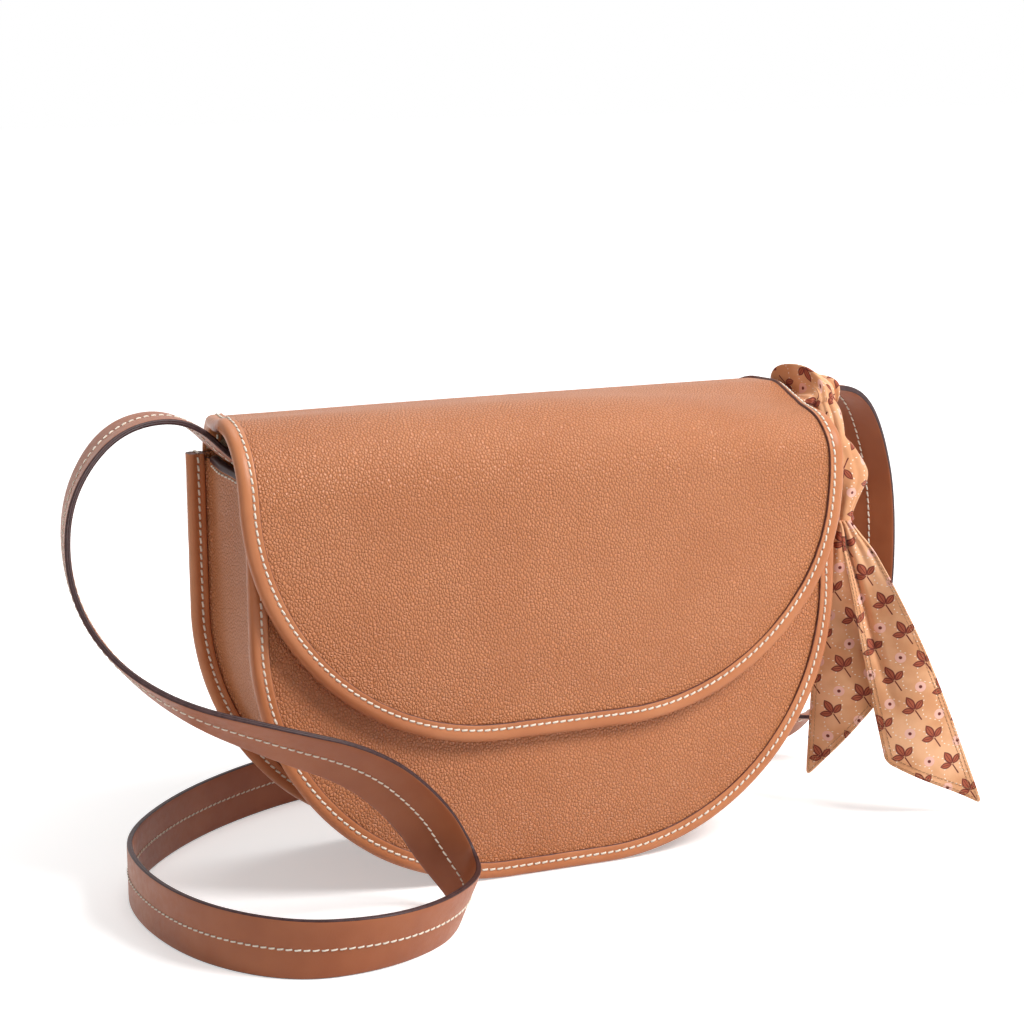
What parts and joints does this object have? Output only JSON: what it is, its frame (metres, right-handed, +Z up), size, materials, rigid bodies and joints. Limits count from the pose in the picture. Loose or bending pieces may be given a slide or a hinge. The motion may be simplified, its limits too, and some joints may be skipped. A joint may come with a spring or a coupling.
{
  "type": "saddle handbag",
  "caption": "Saddle-shaped leather shoulder bag with a curved gusset, a full flap closing on a magnetic snap, an inner zip pocket, a long flat strap and a tied scarf.",
  "frame": {"origin": "on the floor under the middle of the bag's body", "axes": "+X to the right seen from the front, +Y to the back, +Z up; the flap faces -Y"},
  "size_m": [0.4123, 0.2361, 0.1976],
  "materials": {
    "pebbled_leather": "pebbled grain, satin",
    "smooth_leather": "smooth, satin",
    "stiffening_board": "fibre board",
    "lining_cloth": "woven cotton",
    "zip_tape_cloth": "woven tape",
    "zip_metal": "polished",
    "snap_metal": "polished",
    "magnet": "sintered",
    "scarf_cotton": "printed cotton"
  },
  "bodies": {
    "bag": {"back_binding": "smooth_leather", "back_board": "stiffening_board", "back_lining": "lining_cloth", "back_mouth_facing": "smooth_leather", "back_panel": "pebbled_leather", "base_board": "stiffening_board", "flap_root": "pebbled_leather", "front_binding": "smooth_leather", "front_board": "stiffening_board", "front_lining": "lining_cloth", "front_mouth_facing": "smooth_leather", "front_panel": "pebbled_leather", "gusset": "pebbled_leather", "gusset_lining": "lining_cloth", "left_strap_facing": "smooth_leather", "pocket_back": "lining_cloth", "pocket_front": "lining_cloth", "right_strap_facing": "smooth_leather", "root_binding": "smooth_leather", "scarf_knot": "scarf_cotton", "scarf_wrap": "scarf_cotton", "snap_magnet": "magnet", "snap_socket": "snap_metal", "socket_washer": "snap_metal", "strap_floor_loop": "smooth_leather", "strap_left_run": "smooth_leather", "strap_rear_run": "smooth_leather", "strap_right_run": "smooth_leather", "zip_stops": "zip_metal", "zip_tape_lower": "zip_tape_cloth", "zip_tape_upper": "zip_tape_cloth", "zip_teeth_lower": "zip_metal", "zip_teeth_upper": "zip_metal"},
    "flap": {"flap_panel": "pebbled_leather", "flap_board": "stiffening_board", "flap_lining": "lining_cloth", "flap_binding": "smooth_leather", "snap_stud": "snap_metal", "stud_washer": "snap_metal"},
    "zip_slider": {"zip_slider": "zip_metal"},
    "zip_pull": {"zip_pull": "zip_metal"},
    "scarf_long_tail": {"scarf_long_tail": "scarf_cotton"},
    "scarf_short_tail": {"scarf_short_tail": "scarf_cotton"}
  },
  "joints": [
    {"name": "flap_hinge", "type": "hinge", "parent": "bag", "child": "flap", "pos_m": [0, 0.0432, 0.1762], "axis": [-1, 0, 0], "range_deg": [0, 150]},
    {"name": "zip_slide", "type": "slide", "parent": "bag", "child": "zip_slider", "axis": [-1, 0, 0], "range_m": [0, 0.11]},
    {"name": "zip_pull_swing", "type": "hinge", "parent": "zip_slider", "child": "zip_pull", "pos_m": [0.05515, 0.0309, 0.126], "axis": [0, 0, 1], "range_deg": [0, 150]},
    {"name": "scarf_long_tail_swing", "type": "hinge", "parent": "bag", "child": "scarf_long_tail", "pos_m": [0.14812, -0.03019, 0.135], "axis": [-0.4067, -0.9135, 0], "range_deg": [0, 50]},
    {"name": "scarf_short_tail_swing", "type": "hinge", "parent": "bag", "child": "scarf_short_tail", "pos_m": [0.15219, -0.02106, 0.135], "axis": [-0.4067, -0.9135, 0], "range_deg": [0, 55]}
  ]
}
